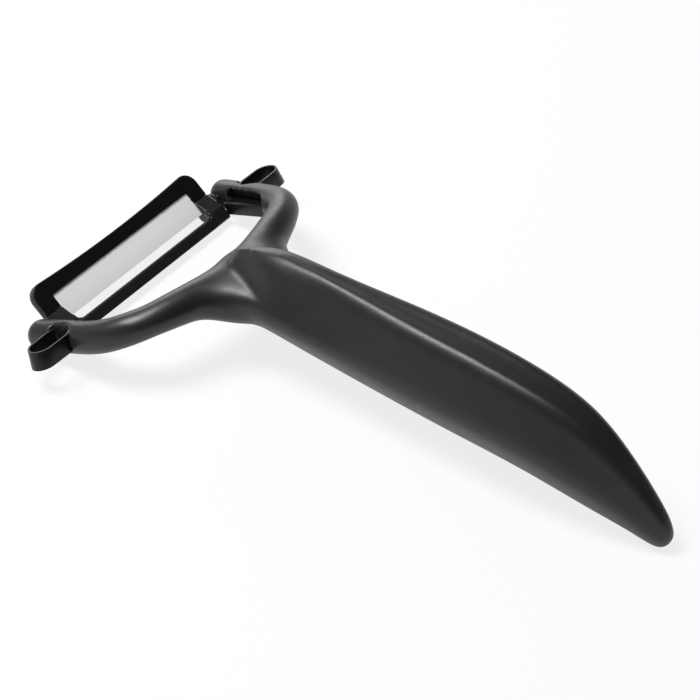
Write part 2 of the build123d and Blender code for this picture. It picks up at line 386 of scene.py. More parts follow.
def lofted(name: str, rings: np.ndarray, levels: int) -> Obj:
    """Pulls a circle through rings of points and rounds the result so that it passes through them.

    Args:
        name: the new object's name.
        rings: ring by ring, the points in metres, with the same count in each.
        levels: subdivision levels of the smooth surface.

    Returns:
        The closed, smooth mesh object.
    """
    select_only()
    bpy.ops.mesh.primitive_circle_add(vertices=rings.shape[1], radius=MM)
    obj = bpy.context.object
    obj.name = name
    bpy.ops.object.mode_set(mode="EDIT")
    mesh = bmesh.from_edit_mesh(obj.data)
    for vertex, place in zip(mesh.verts, rings[0]):
        vertex.co = place
    bmesh.update_edit_mesh(obj.data)
    for ring, following in zip(rings, rings[1:]):
        shift = Vector(following.mean(0) - ring.mean(0))
        bpy.ops.mesh.extrude_region_move(TRANSFORM_OT_translate={"value": shift})
        mesh = bmesh.from_edit_mesh(obj.data)
        for vertex in (v for v in mesh.verts if v.select):
            gaps = np.linalg.norm(ring + np.array(shift) - np.array(vertex.co), axis=1)
            vertex.co = following[int(gaps.argmin())]
        bmesh.update_edit_mesh(obj.data)
    bpy.ops.mesh.edge_face_add()
    bpy.ops.mesh.select_all(action="DESELECT")
    mesh = bmesh.from_edit_mesh(obj.data)
    for vertex in mesh.verts:
        if np.linalg.norm(rings[0] - np.array(vertex.co), axis=1).min() < SAME_PLACE:
            vertex.select_set(True)
    mesh.select_flush(True)
    bmesh.update_edit_mesh(obj.data)
    bpy.ops.mesh.edge_face_add()
    bpy.ops.mesh.select_all(action="SELECT")
    bpy.ops.mesh.normals_make_consistent(inside=False)
    bpy.ops.object.mode_set(mode="OBJECT")
    pass_through(obj, levels)
    return obj


def pass_through(obj: Obj, levels: int, rounds: int = 8) -> None:
    """Subdivides a cage so that the smooth surface passes through the cage's first points.

    Args:
        obj: the cage.
        levels: subdivision levels.
        rounds: how often the cage is pushed out by what the surface lacks.
    """
    target = points_of(obj)
    cage = target.copy()
    smooth = obj.modifiers.new("Round", "SUBSURF")
    smooth.levels = smooth.render_levels = levels
    for _ in range(rounds):
        set_points(obj, cage)
        bpy.context.view_layer.update()
        shown = obj.evaluated_get(bpy.context.evaluated_depsgraph_get())
        flat = np.empty(len(shown.data.vertices) * 3)
        shown.data.vertices.foreach_get("co", flat)
        cage += target - flat.reshape(-1, 3)[: len(target)]
    set_points(obj, cage)
    bake_modifiers(obj)


def spline_through(points: list, count: int) -> np.ndarray:
    """Samples the natural cubic spline through points, by chord length.

    Args:
        points: the places that it passes through.
        count: how many samples to take, evenly along the chord length.

    Returns:
        The samples, one row each.
    """
    knots = np.array(points, float)
    at = np.concatenate([[0.0], np.cumsum(np.linalg.norm(np.diff(knots, axis=0), axis=1))])
    gaps = np.diff(at)
    size = len(knots)
    system, right = np.eye(size), np.zeros_like(knots)
    for i in range(1, size - 1):
        system[i, i - 1 : i + 2] = gaps[i - 1], 2 * (gaps[i - 1] + gaps[i]), gaps[i]
        right[i] = 6 * ((knots[i + 1] - knots[i]) / gaps[i] - (knots[i] - knots[i - 1]) / gaps[i - 1])
    bends = np.linalg.solve(system, right)
    samples = np.linspace(0, at[-1], count)
    found = []
    for s in samples:
        i = min(int(np.searchsorted(at, s, side="right")) - 1, size - 2)
        a, b, h = at[i + 1] - s, s - at[i], gaps[i]
        curve = (bends[i] * a**3 + bends[i + 1] * b**3) / (6 * h)
        curve += (knots[i] / h - bends[i] * h / 6) * a
        found.append(curve + (knots[i + 1] / h - bends[i + 1] * h / 6) * b)
    return np.array(found)


def tube_rings(path: np.ndarray, radii: np.ndarray, sides: int, up: np.ndarray) -> np.ndarray:
    """Places round rings square to a path.

    Args:
        path: the ring centres.
        radii: one radius for each centre.
        sides: points in a ring.
        up: a direction that the path never follows, where each ring starts.

    Returns:
        The rings' points.
    """
    along = np.gradient(path, axis=0)
    along /= np.linalg.norm(along, axis=1)[:, None]
    across = np.cross(along, up)
    across /= np.linalg.norm(across, axis=1)[:, None]
    over = np.cross(across, along)
    turns = 2 * math.pi * np.arange(sides) / sides
    cosine, sine = np.cos(turns)[None, :, None], np.sin(turns)[None, :, None]
    wheel = cosine * over[:, None, :] + sine * across[:, None, :]
    return path[:, None, :] + wheel * radii[:, None, None]


def hull(name: str, discs: list[tuple[Vector, float, Vector]], sides: int = 48) -> Obj:
    """Wraps flat discs in one convex form.

    Args:
        name: the new object's name.
        discs: middle, radius and normal of each disc, in metres.
        sides: corners of each disc.

    Returns:
        The closed mesh object.
    """
    select_only()
    for number, (middle, radius, normal) in enumerate(discs):
        turn = normal.to_track_quat("Z", "Y").to_euler()
        bpy.ops.mesh.primitive_circle_add(vertices=sides, radius=radius, location=middle, rotation=turn)
        if number == 0:
            obj = bpy.context.object
            obj.name = name
            bpy.ops.object.transform_apply(location=True, rotation=True, scale=True)
            bpy.ops.object.mode_set(mode="EDIT")
    bpy.ops.mesh.select_all(action="SELECT")
    bpy.ops.mesh.convex_hull()
    bpy.ops.mesh.select_all(action="SELECT")
    bpy.ops.mesh.normals_make_consistent(inside=False)
    bpy.ops.object.mode_set(mode="OBJECT")
    return obj


def block(name: str, low: tuple, high: tuple, to_world: Matrix) -> Obj:
    """Adds a box given by two corners in a plane's own millimetres.

    Args:
        name: the new object's name.
        low: lowest corner.
        high: highest corner.
        to_world: from the plane's metres to the frame.

    Returns:
        The box, with its place in its mesh.
    """
    select_only()
    bpy.ops.mesh.primitive_cube_add(size=1)
    obj = bpy.context.object
    obj.name = name
    span = [(b - a) * MM for a, b in zip(low, high)]
    middle = [(a + b) / 2 * MM for a, b in zip(low, high)]
    obj.data.transform(to_world @ Matrix.Translation(middle) @ Matrix.Diagonal((*span, 1)))
    return obj


def rod(name: str, start: Vector, end: Vector, radius: float) -> Obj:
    """Adds a round bar from one point to another, in metres.

    Args:
        name: the new object's name.
        start: middle of the first end.
        end: middle of the second end.
        radius: the bar's radius.

    Returns:
        The bar, with its place in its mesh.
    """
    select_only()
    run = end - start
    turn = run.to_track_quat("Z", "Y").to_euler()
    bpy.ops.mesh.primitive_cylinder_add(
        vertices=ROD_SIDES, radius=radius, depth=run.length, location=(start + end) / 2, rotation=turn
    )
    obj = bpy.context.object
    obj.name = name
    bpy.ops.object.transform_apply(location=True, rotation=True, scale=True)
    return obj


def combine(target: Obj, tools: list[Obj], operation: str) -> None:
    """Cuts tools out of a target, or fuses them to it, and removes the tools.

    Args:
        target: what is changed.
        tools: the other closed meshes.
        operation: DIFFERENCE or UNION.
    """
    for tool in tools:
        before = target.data.copy()
        for nudge in range(1, NUDGE_TRIES + 1):
            modifier = target.modifiers.new("Combine", "BOOLEAN")
            modifier.operation = operation
            modifier.solver = "EXACT"
            modifier.object = tool
            bake_modifiers(target)
            if len(target.data.polygons) > len(before.polygons) / 2:
                break
            # Faces that fall together can defeat the cut, so the tool moves by a hair
            target.data = before.copy()
            tool.data.transform(Matrix.Translation(NUDGE * nudge))
        bpy.data.objects.remove(tool)


def remeshed(obj: Obj, voxel: float) -> None:
    """Rebuilds an object as one even skin of square faces.

    Args:
        obj: closed meshes that may overlap.
        voxel: size of the new faces, in metres.
    """
    modifier = obj.modifiers.new("Skin", "REMESH")
    modifier.mode = "VOXEL"
    modifier.voxel_size = voxel
    bake_modifiers(obj)


class Skin:
    """The points and neighbours of an even mesh, for smoothing by hand."""

    pace = 0.5
    fill_pace = 0.9
    normals_every = 10
    # The least share of an edge's length along Y that counts as lengthwise
    lengthwise_share = 0.8

    def __init__(self, obj: Obj) -> None:
        """Reads the object's mesh."""
        self.obj = obj
        self.points = points_of(obj)
        pairs = np.empty(len(obj.data.edges) * 2, int)
        obj.data.edges.foreach_get("vertices", pairs)
        pairs = pairs.reshape(-1, 2)
        self.start = np.concatenate([pairs[:, 0], pairs[:, 1]])
        self.end = np.concatenate([pairs[:, 1], pairs[:, 0]])

    def mean_gap(self, start: np.ndarray, end: np.ndarray) -> tuple[np.ndarray, np.ndarray]:
        """Measures the way from each point to the middle of its neighbours.

        Args:
            start: the point at one end of each edge that counts.
            end: the point at its other end.

        Returns:
            The ways, and how many neighbours each point has.
        """
        size = len(self.points)
        count = np.bincount(start, minlength=size)
        sums = [np.bincount(start, self.points[end, k], minlength=size) for k in range(3)]
        return np.stack(sums, axis=1) / np.maximum(count, 1)[:, None] - self.points, count

    def relax(self, weight: np.ndarray, rounds: int) -> None:
        """Evens the surface out; the weight says how much each point takes part, 0 to 1."""
        for _ in range(rounds):
            self.points += self.pace * weight[:, None] * self.mean_gap(self.start, self.end)[0]

    def relax_lengthwise(self, weight: np.ndarray, rounds: int) -> None:
        """Evens the surface out along Y only, which keeps ridges that run that way.

        Args:
            weight: how much each point takes part, 0 to 1.
            rounds: how many passes.
        """
        run = self.points[self.end] - self.points[self.start]
        chosen = np.abs(run[:, 1]) > self.lengthwise_share * np.linalg.norm(run, axis=1)
        start, end = self.start[chosen], self.end[chosen]
        for _ in range(rounds):
            gap, count = self.mean_gap(start, end)
            self.points += (self.pace * weight * (count == 2))[:, None] * gap

    def fill_valleys(self, weight: np.ndarray, rounds: int) -> None:
        """Rounds inner corners only, as a moulding's fillets do.

        Args:
            weight: how much each point takes part, 0 to 1.
            rounds: how many passes.
        """
        for number in range(rounds):
            if number % self.normals_every == 0:
                set_points(self.obj, self.points)
                normal = normals_of(self.obj)
            gap = self.mean_gap(self.start, self.end)[0]
            outward = np.clip((gap * normal).sum(1), 0, None)
            self.points += (self.fill_pace * weight * outward)[:, None] * normal

    def write(self) -> None:
        """Puts the points back in the mesh."""
        set_points(self.obj, self.points)


def rising(values: np.ndarray, start: float, width: float) -> np.ndarray:
    """Returns weights that grow from 0 at start to 1 over a width."""
    return np.clip((values - start) / width, 0, 1)


def falling(values: np.ndarray, end: float, width: float) -> np.ndarray:
    """Returns weights that shrink to 0 at end, from 1 a width before it."""
    return np.clip((end - values) / width, 0, 1)


def near_path(points: np.ndarray, path: np.ndarray) -> tuple[np.ndarray, np.ndarray]:
    """Measures how far points are from a line of many short runs.

    Args:
        points: the points.
        path: the line's own points, close together.

    Returns:
        The distance of each point, and the share of the line where it is nearest.
    """
    best = np.full(len(points), np.inf)
    share = np.zeros(len(points))
    for number, place in enumerate(path):
        gap = np.linalg.norm(points - place, axis=1)
        nearer = gap < best
        best[nearer] = gap[nearer]
        share[nearer] = number / (len(path) - 1)
    return best, share


def finish_piece(obj: Obj, body: Body, slot: Slot, material: Material, *nodes: str) -> None:
    """Gives a modelled piece its material and its body, and hides the CAD nodes that it stands for.

    Args:
        obj: the finished mesh object.
        body: what it moves with.
        slot: the record's slot of its finish; not used.
        material: its node material.
        *nodes: the CAD nodes that it replaces.
    """
    obj.data.materials.clear()
    obj.data.materials.append(material)
    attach(obj, body.value)
    if nodes:
        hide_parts(*nodes)


# The peeler's sub-assemblies


@dataclass
class ForkPlane:
    """The sloping plane of the fork's arms, through the pivot axis, in millimetres."""

    pivot_y: float = 63.161
    pivot_z: float = 3.117
    slope: float = 22.0

    def matrix(self) -> Matrix:
        """Returns the way from the plane's metres to the frame."""
        place = Matrix.Translation((0, self.pivot_y * MM, self.pivot_z * MM))
        return place @ Matrix.Rotation(-math.radians(self.slope), 4, "X")

    def at(self, x: float, y: float, z: float) -> Vector:
        """Returns a point of the plane, given in millimetres, in the frame's metres."""
        return self.matrix() @ Vector((x * MM, y * MM, z * MM))

    def normal(self) -> Vector:
        """Returns the plane's upward direction."""
        return (self.matrix().to_3x3() @ UP).normalized()

    def block_beside(self, name: str, side: Side, xs: tuple, ys: tuple, zs: tuple) -> Obj:
        """Adds a box on one side; xs run from the middle outward, and all are millimetres."""
        low_x, high_x = sorted(side.value * x for x in xs)
        return block(name, (low_x, ys[0], zs[0]), (high_x, ys[1], zs[1]), self.matrix())


@dataclass
class EyeRemover:
    """A thin leaf-shaped loop outside an arm, on a rail that runs through the arm, in millimetres."""

    plane: ForkPlane
    back: float = 8.2
    reach: float = 6.5
    span: float = 29.7
    end_radius: float = 3.0
    root_radius: float = 3.1
    root: float = 2.3
    top: float = 2.5
    height: float = 3.9
    flare: float = 0.8
    wall: float = 0.9
    rim: float = 0.4
    edge_round: float = 0.12
    # How far the loop's inside is cut over its upper rim and under its lower one
    space_above: float = 0.05
    space_below: float = 0.3
    # The blunt pocket in the arm's top, which the loop's root opens into, and its lining
    pocket_x: tuple = (29.8, 32.8)
    pocket_y: tuple = (-10.4, -5.5)
    pocket_floor: float = -1.2
    pocket_round: float = 0.7
    pocket_above: float = 4.0
    lining_drop: float = 0.1
    lining_wall: float = 0.45
    # The plate that closes the slot over the rail on its outer side
    plate_x: tuple = (28.2, 28.8)
    plate_overrun: float = 0.5
    plate_root: float = 0.4
    rail_inner: float = 25.3
    rail_start: float = 4.3
    rail_length: float = 12.0
    rail_top: float = 0.34
    rail_height: float = 2.84

    def leaf(
        self,
        name: str,
        side: Side,
        inset: float,
        above: float = 0.0,
        below: float = 0.0,
        top_inset: float | None = None,
    ) -> Obj:
        """Models the loop's outline as a solid leaf.

        Args:
            name: the new object's name.
            side: left or right.
            inset: how far the outline is drawn in.
            above: how far the leaf runs on over its upper rim.
            below: how far it runs on under its lower rim.
            top_inset: another inset for the upper rim.

        Returns:
            The leaf.
        """
        normal = self.plane.normal()
        low = self.top - self.height - below
        discs = []
        for out, radius in ((self.reach, self.end_radius), (self.root, self.root_radius)):
            x = self.span + out
            size = (radius - inset) * MM
            top_size = size if top_inset is None else (radius - top_inset) * MM
            top_middle = self.plane.at(side.value * x, -self.back, self.top + above)
            low_middle = self.plane.at(side.value * (x + self.flare), -self.back, low)
            discs += [(top_middle, top_size, normal), (low_middle, size, normal)]
        return hull(name, discs)

    def along_rail(self, overrun: float = 0.0) -> tuple[float, float]:
        """Returns the rail's back and front end, with its back end moved out by an overrun."""
        return (-self.rail_start - self.rail_length - overrun, -self.rail_start)

    def rail(self, side: Side) -> Obj:
        """Returns the straight rail inside the arm on one side."""
        outer = self.span + self.root - self.root_radius + self.wall / 2
        zs = (self.rail_top - self.rail_height, self.rail_top)
        return self.plane.block_beside("rail", side, (self.rail_inner, outer), self.along_rail(), zs)

    def slot_plate(self, side: Side) -> Obj:
        """Returns the plate behind the arm's slot on one side."""
        ys, zs = self.along_rail(self.plate_overrun), (self.rail_top - self.plate_root, self.top)
        return self.plane.block_beside("slot_plate", side, self.plate_x, ys, zs)

    def pocket(self, name: str, side: Side, grow: float, above: float) -> Obj:
        """Models the pocket's inside.

        Args:
            name: the new object's name.
            side: left or right.
            grow: how far it is widened.
            above: how far it runs on over the loop's rim.

        Returns:
            The pocket's block, with its edges rounded.
        """
        xs = (self.pocket_x[0] - grow, self.pocket_x[1] + grow)
        ys = (self.pocket_y[0] - grow, self.pocket_y[1] + grow)
        shape = self.plane.block_beside(name, side, xs, ys, (self.pocket_floor - grow, self.top + above))
        round_edges(shape, self.pocket_round, segments=4)
        return shape

    def build(self, side: Side, material: Material) -> Obj:
        """Models one eye remover and dresses it.

        Args:
            side: left or right.
            material: its finish.

        Returns:
            The piece.
        """
        node = f"eye_remover_{side.name.lower()}"
        piece = self.leaf(f"{node}_moulding", side, 0.0)
        lining = self.pocket("lining", side, 0.0, -self.lining_drop)
        combine(piece, [self.rail(side), lining, self.slot_plate(side)], "UNION")
        space = self.leaf("space", side, self.wall, self.space_above, self.space_below, top_inset=self.rim)
        combine(piece, [space], "DIFFERENCE")
        combine(piece, [self.pocket("pocket", side, -self.lining_wall, self.pocket_above)], "DIFFERENCE")
        round_edges(piece, self.edge_round)
        finish_piece(piece, Body.HANDLE, Slot.EYE_REMOVER, material, node)
        return piece


def round_edges(obj: Obj, width: float, segments: int = 3) -> None:
    """Rounds a hard-edged moulding's edges and shades it smooth.

    Args:
        obj: the mesh object.
        width: the rounding's width, in millimetres.
        segments: faces across the rounding.
    """
    select_only(obj)
    bpy.ops.object.mode_set(mode="EDIT")
    bpy.ops.mesh.select_all(action="SELECT")
    bpy.ops.mesh.remove_doubles(threshold=WELD)
    bpy.ops.mesh.dissolve_limited(angle_limit=FLAT_ANGLE)
    bpy.ops.object.mode_set(mode="OBJECT")
    bevel = obj.modifiers.new("Edges", "BEVEL")
    bevel.width = width * MM
    bevel.segments = segments
    bevel.limit_method = "ANGLE"
    bevel.angle_limit = EDGE_ANGLE
    bevel.use_clamp_overlap = True
    bake_modifiers(obj)
    select_only(obj)
    bpy.ops.object.shade_smooth_by_angle(angle=SMOOTH_ANGLE)


@dataclass
class NeckBlend:
    """Where the skin is smoothed, above all where the arms grow out of the handle, in millimetres.

    Each zone fades in over its fade width, so that no smoothed patch has an edge of its own.
    """

    # The neck, from its back to its front
    neck: tuple = (12.0, 45.0)
    neck_fade: float = 4.0
    # Everything under the arm's shoulder
    low_top: float = 17.4
    low_fade: float = 2.0
    # The front of the neck, under the ridge
    front_start: float = 27.0
    front_fade: float = 4.0
    front_top: float = 20.0
    front_top_fade: float = 0.8
    # The line of the crease, which stays sharp
    ledge: tuple = (
        (3.0, 34.6, 20.0),
        (4.8, 30.6, 20.0),
        (5.9, 27.2, 19.3),
        (7.2, 23.8, 18.7),
        (8.0, 21.2, 18.0),
    )
    ledge_outward: tuple = (0.91, 0.42)
    ledge_keep: float = 0.6
    ledge_fade: float = 1.2
    outboard_start: float = 0.5
    outboard_fade: float = 1.0
    low_valley_rounds: int = 120
    front_valley_rounds: int = 60
    arm_rounds: int = 20
    # The neck as a whole, under the top of the ridge
    crown: float = 21.0
    crown_fade: float = 1.5
    crown_rounds: int = 6
    # The web outboard of the crease
    web_low: float = 15.5
    web_fade: float = 1.5
    web_rounds: int = 75
    # The two ridges and the groove between them
    ridge_low: float = 21.5
    ridge_low_fade: float = 2.0
    ridge_front: float = 29.0
    ridge_front_fade: float = 4.0
    ridge_rounds: int = 36
    ridge_lengthwise_rounds: int = 160
    whole_rounds: int = 6

    def beside_ledges(self, points: np.ndarray) -> tuple[np.ndarray, np.ndarray]:
        """Weighs points by where they lie from the two creases.

        Args:
            points: the skin's points.

        Returns:
            How far from both creases each point is, and how far outboard of one, each as a weight.
        """
        away, outboard = np.ones(len(points)), np.zeros(len(points))
        for side in Side:
            line = spline_through([(side.value * x, y, z) for x, y, z in self.ledge], LINE_POINTS)
            gap, share = near_path(points, line)
            nearest = line[np.rint(share * (len(line) - 1)).astype(int)]
            across, forward = self.ledge_outward
            out = ((points - nearest) * (side.value * across, forward, 0.0)).sum(1)
            away = np.minimum(away, rising(gap, self.ledge_keep, self.ledge_fade))
            beside = rising(out, self.outboard_start, self.outboard_fade) * (points[:, 0] * side.value > 0)
            outboard = np.maximum(outboard, beside)
        return away, outboard

    def smooth(self, skin: Skin) -> None:
        """Rounds the inner corners where the arms grow out, but for the creases, and evens the skin out.

        Args:
            skin: the moulding's skin.
        """
        points = skin.points / MM
        y, z = points[:, 1], points[:, 2]
        neck = rising(y, self.neck[0], self.neck_fade) * falling(y, self.neck[1], self.neck_fade)
        low = falling(z, self.low_top, self.low_fade)
        away, outboard = self.beside_ledges(points)
        front = rising(y, self.front_start, self.front_fade)
        front = front * falling(z, self.front_top, self.front_top_fade)
        ridges = rising(z, self.ridge_low, self.ridge_low_fade)
        ridges = ridges * falling(y, self.ridge_front, self.ridge_front_fade)
        skin.fill_valleys(neck * np.maximum(low, outboard), self.low_valley_rounds)
        skin.fill_valleys(neck * front * away, self.front_valley_rounds)
        skin.relax(neck * np.maximum(low, np.maximum(front * away, outboard)), self.arm_rounds)
        skin.relax(neck * falling(z, self.crown, self.crown_fade), self.crown_rounds)
        skin.relax(neck * outboard * rising(z, self.web_low, self.web_fade), self.web_rounds)
        skin.relax(ridges, self.ridge_rounds)
        skin.relax_lengthwise(ridges, self.ridge_lengthwise_rounds)
        skin.relax(np.ones(len(points)), self.whole_rounds)


@dataclass
class HandleMoulding:
    """The handle and its fork, one smooth moulding, in millimetres."""

    plane: ForkPlane
    eye_remover: EyeRemover
    blend: NeckBlend
    length: float = 105.6
    width: float = 18.6
    height: float = 27.45
    front: float = 34.1
    voxel: float = 0.37
    # The fork's arms, noses and neck
    half_span: float = 29.7
    depth: float = 31.6
    arm_radius: float = 3.5
    neck_radius: float = 5.6
    bend_rise: float = -1.1
    fork_rings: int = 41
    nose_radius: float = 3.3
    nose_tip: float = 2.7
    # Share of an arm over which it thins to its nose, and where the nose's dome has its rings
    nose_share: float = 0.15
    nose_rings: tuple = (0.9, 1.7, 2.3, 2.6)
    # The slot over the rail, and the rail's seat
    window_height: float = 2.4
    window_depth: float = 3.7
    window_sill: float = 0.5
    window_overrun: float = 0.7
    window_round: float = 1.1
    seat_overlap: float = 0.3
    loop_clearance: float = 0.12
    loop_seat_above: float = 4.0
    loop_seat_below: float = 0.1
    pocket_clearance: float = 0.15
    # The flat and the pin's hole on the nose's inner side
    nose_flat: float = 0.4
    flat_run: float = 3.0
    flat_radius: float = 5.3
    pin_hole: float = 1.05
    pin_hole_depth: float = 3.1
    pin_hole_overrun: float = 1.0
    # The underside's seat for its cover, and the hollow over it
    cover_front: float = 22.0
    cover_length: float = 54.0
    cover_width: float = 9.0
    cover_seat: float = 9.6
    cover_ledge: float = 1.2
    cover_overrun: float = 1.0
    hollow_height: float = 14.0
    # Along the handle: back share, half width share, top share, bottom share, groove share, ridge gap
    stations: tuple = (
        (-0.009, 0.16, 0.738, 0.600, 0.0, 0.3),
        (0.001, 0.46, 0.784, 0.543, 0.0, 0.4),
        (0.025, 0.78, 0.836, 0.441, 0.0, 0.6),
        (0.065, 0.97, 0.905, 0.350, 0.0, 0.8),
        (0.125, 1.01, 0.955, 0.315, 0.4, 1.0),
        (0.246, 0.97, 0.975, 0.278, 0.8, 1.3),
        (0.398, 0.99, 0.980, 0.265, 1.0, 1.9),
        (0.550, 1.01, 0.976, 0.268, 1.0, 2.6),
        (0.682, 0.97, 0.941, 0.254, 0.8, 2.6),
        (0.777, 0.87, 0.868, 0.204, 0.5, 2.3),
        (0.852, 0.70, 0.720, 0.138, 0.2, 1.9),
        (0.918, 0.50, 0.520, 0.072, 0.0, 1.3),
        (0.961, 0.36, 0.354, 0.021, 0.0, 1.0),
        (0.986, 0.24, 0.240, 0.014, 0.0, 0.7),
        (0.997, 0.11, 0.165, 0.060, 0.0, 0.3),
    )
    # Each side's points by back share: how far out from ridge to flank, and how far down
    side_shares: tuple = (0.0, 0.16, 0.24, 0.40)
    sides_out: tuple = (
        (0.30, 0.24, 0.24, 0.27),
        (0.56, 0.48, 0.48, 0.50),
        (0.87, 0.86, 0.86, 0.87),
        (1.0, 1.0, 1.0, 1.0),
        (0.82, 0.80, 0.80, 0.82),
        (0.46, 0.46, 0.46, 0.46),
    )
    sides_down: tuple = (
        (0.050, 0.100, 0.095, 0.068),
        (0.15, 0.235, 0.23, 0.20),
        (0.37, 0.45, 0.45, 0.43),
        (0.60, 0.60, 0.60, 0.60),
        (0.82, 0.80, 0.81, 0.80),
        (0.96, 0.96, 0.96, 0.96),
    )
    groove_depth: float = 0.6
    groove_floor: tuple = (0.62, 0.92)
    # From the nose to the bend: shares of the half span and of the depth, and height in arm radii
    route: tuple = (
        (1.0, 0.0, 0.0),
        (0.973, 0.28, 0.0),
        (0.94, 0.524, 0.06),
        (0.80, 0.77, 0.31),
        (0.465, 0.92, 0.20),
    )
    # Share of the way from the nose to the bend, and of the growth from arm to neck
    thickening: tuple = ((0.0, 0.0), (0.56, 0.0), (0.72, 0.25), (0.86, 0.6), (1.0, 1.0))
    # The shoulder carries each arm back along the handle's side: x, y, z, radius
    shoulder: tuple = (
        (23.6, 40.9, 12.9, 2.4),
        (17.8, 38.4, 14.1, 3.6),
        (9.9, 34.4, 14.3, 4.4),
        (5.8, 28.8, 14.0, 4.8),
        (4.3, 23.2, 14.9, 4.3),
        (3.5, 17.0, 15.2, 3.8),
    )
    shoulder_rings: int = 16
    # The flat web between the arm's top and the crease
    web: tuple = (
        (1.0, 35.4, 19.3),
        (3.2, 31.0, 19.7),
        (4.6, 27.0, 19.1),
        (6.6, 21.6, 18.2),
        (8.0, 21.4, 18.1),
        (9.4, 33.4, 18.4),
        (7.7, 29.5, 18.4),
        (7.2, 26.0, 18.3),
    )
    web_depth: float = 3.0
    web_edge: float = 0.3
    # Where the arm's top meets the handle's side, and how deep the side is drawn in beside it
    crease: tuple = (
        (3.2, 33.4, 21.0),
        (4.8, 30.0, 21.2),
        (6.2, 26.8, 20.8),
        (7.4, 23.8, 20.1),
        (8.3, 21.0, 19.2),
    )
    scoop_depth: float = 1.6
    scoop_radius: float = 4.2
    # The part of a half wave that the scoop's depth follows along the crease: its start and its run
    scoop_wave: tuple = (0.1, 0.85)

    def section(self, station: tuple) -> list[tuple[float, float, float]]:
        """Works out one cross-section of the handle.

        Args:
            station: back share, half width share, top share, bottom share, groove share and ridge gap.

        Returns:
            Its points in metres, from the groove's middle down the right side and up the left.
        """
        back, wide, high, low, groove, ridge = station
        half, top = wide * self.width / 2, high * self.height
        tall = top - low * self.height
        sides = []
        for outs, downs in zip(self.sides_out, self.sides_down):
            out = np.interp(back, self.side_shares, outs)
            x = ridge + out * (half - ridge)
            sides.append((x, top - np.interp(back, self.side_shares, downs) * tall))
        floor_x, floor_z = self.groove_floor
        floor = (floor_x * ridge, top - floor_z * groove * self.groove_depth)
        right = [floor, (ridge, top), *sides]
        left = [(-x, z) for x, z in reversed(right)]
        ring = [(0.0, top - groove * self.groove_depth), *right, (0.0, top - tall), *left]
        y = self.front - back * self.length
        return [(x * MM, y * MM, z * MM) for x, z in ring]

    def grip(self) -> Obj:
        """Models the handle's body, with its underside seat and hollow cut out.

        Returns:
            The closed mesh.
        """
        rings = np.array([self.section(station) for station in self.stations])
        body = lofted("handle_moulding", rings, 4)
        middle = self.front - self.cover_front - self.cover_length / 2
        run = (self.cover_length - self.cover_width) / 2
        cutters = []
        for name, inset, low, high in (
            ("seat", 0.0, -self.cover_overrun, self.cover_seat),
            ("hollow", self.cover_ledge, 0.0, self.cover_seat + self.hollow_height),
        ):
            radius = (self.cover_width / 2 - inset) * MM
            spots = [(0, middle + end * run, z) for end in (-1, 1) for z in (low, high)]
            cutters.append(hull(name, [(Vector(spot) * MM, radius, UP) for spot in spots]))
        combine(body, cutters, "DIFFERENCE")
        return body

    def nose(self, end: np.ndarray, inner: np.ndarray) -> tuple[list, list]:
        """Works out the rings of a nose's blunt dome.

        Args:
            end: the middle of the arm's last ring.
            inner: the middle of the ring before it.

        Returns:
            The rings' middles in metres and their radii in millimetres, from the arm outward.
        """
        outward = end - inner
        outward /= np.linalg.norm(outward)
        ball = (self.nose_radius**2 + self.nose_tip**2) / (2 * self.nose_tip)
        places = [end + outward * d * MM for d in self.nose_rings]
        return places, [math.sqrt(ball**2 - (d + ball - self.nose_tip) ** 2) for d in self.nose_rings]

    def fork(self) -> Obj:
        """Models the two arms, their bend and the noses, with the seats cut out.

        Returns:
            The closed mesh.
        """
        half = [(-a * self.half_span, -b * self.depth, r * self.arm_radius) for a, b, r in self.route]
        other = [(-x, y, z) for x, y, z in reversed(half)]
        local = spline_through([*half, (0, -self.depth, self.bend_rise), *other], self.fork_rings)
        path = np.array([tuple(self.plane.at(*p)) for p in local])
        share = 1 - np.abs(np.linspace(-1, 1, len(path)))
        where, grown = zip(*self.thickening)
        radii = self.arm_radius + (self.neck_radius - self.arm_radius) * np.interp(share, where, grown)
        radii -= (self.arm_radius - self.nose_radius) * np.clip(1 - share / self.nose_share, 0, 1)
        first, first_radii = self.nose(path[0], path[1])
        last, last_radii = self.nose(path[-1], path[-2])
        places = np.array([*reversed(first), *path, *last])
        sizes = np.array([*reversed(first_radii), *radii, *last_radii])
        fork = lofted("fork", tube_rings(places, sizes * MM, TUBE_SIDES, np.array(self.plane.normal())), 2)
        combine(fork, self.seats(), "DIFFERENCE")
        return fork

